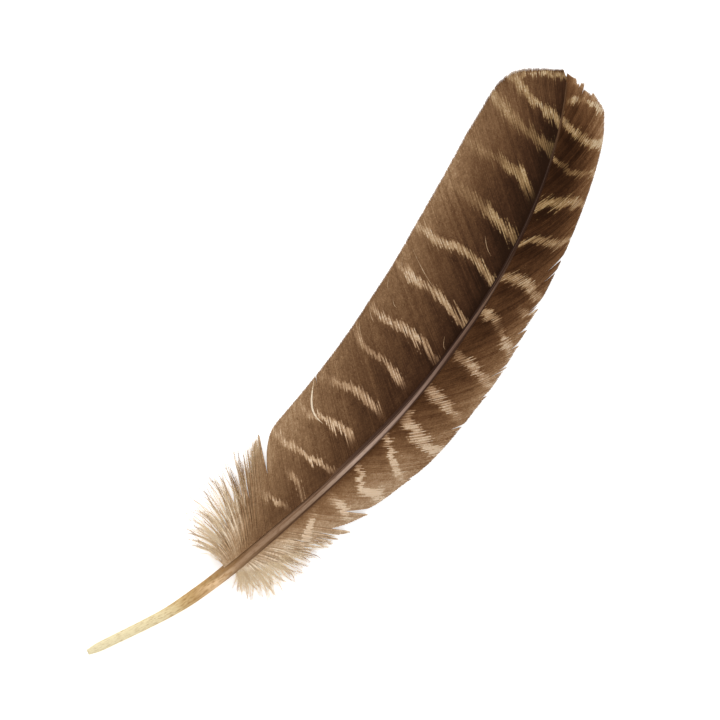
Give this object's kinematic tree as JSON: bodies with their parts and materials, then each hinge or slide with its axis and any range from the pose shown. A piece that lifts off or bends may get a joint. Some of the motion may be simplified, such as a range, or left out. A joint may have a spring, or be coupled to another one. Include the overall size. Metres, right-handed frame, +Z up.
{
  "type": "turkey wing feather",
  "caption": "Turkey wing feather: a bare quill and tapering rib, a wide and a narrow barred vane and a downy base, lying with its upper side up.",
  "frame": {"origin": "middle of the footprint, on the surface that the feather lies on", "axes": "+Y from the quill's tip towards the feather's tip, +X towards the narrow outer vane, +Z up out of the surface"},
  "size_m": [0.0746, 0.2947, 0.0104],
  "materials": {
    "feather": "satin brown keratin with pale bars, horn-yellow quill"
  },
  "bodies": {
    "root": {"feather": "feather"}
  },
  "joints": []
}
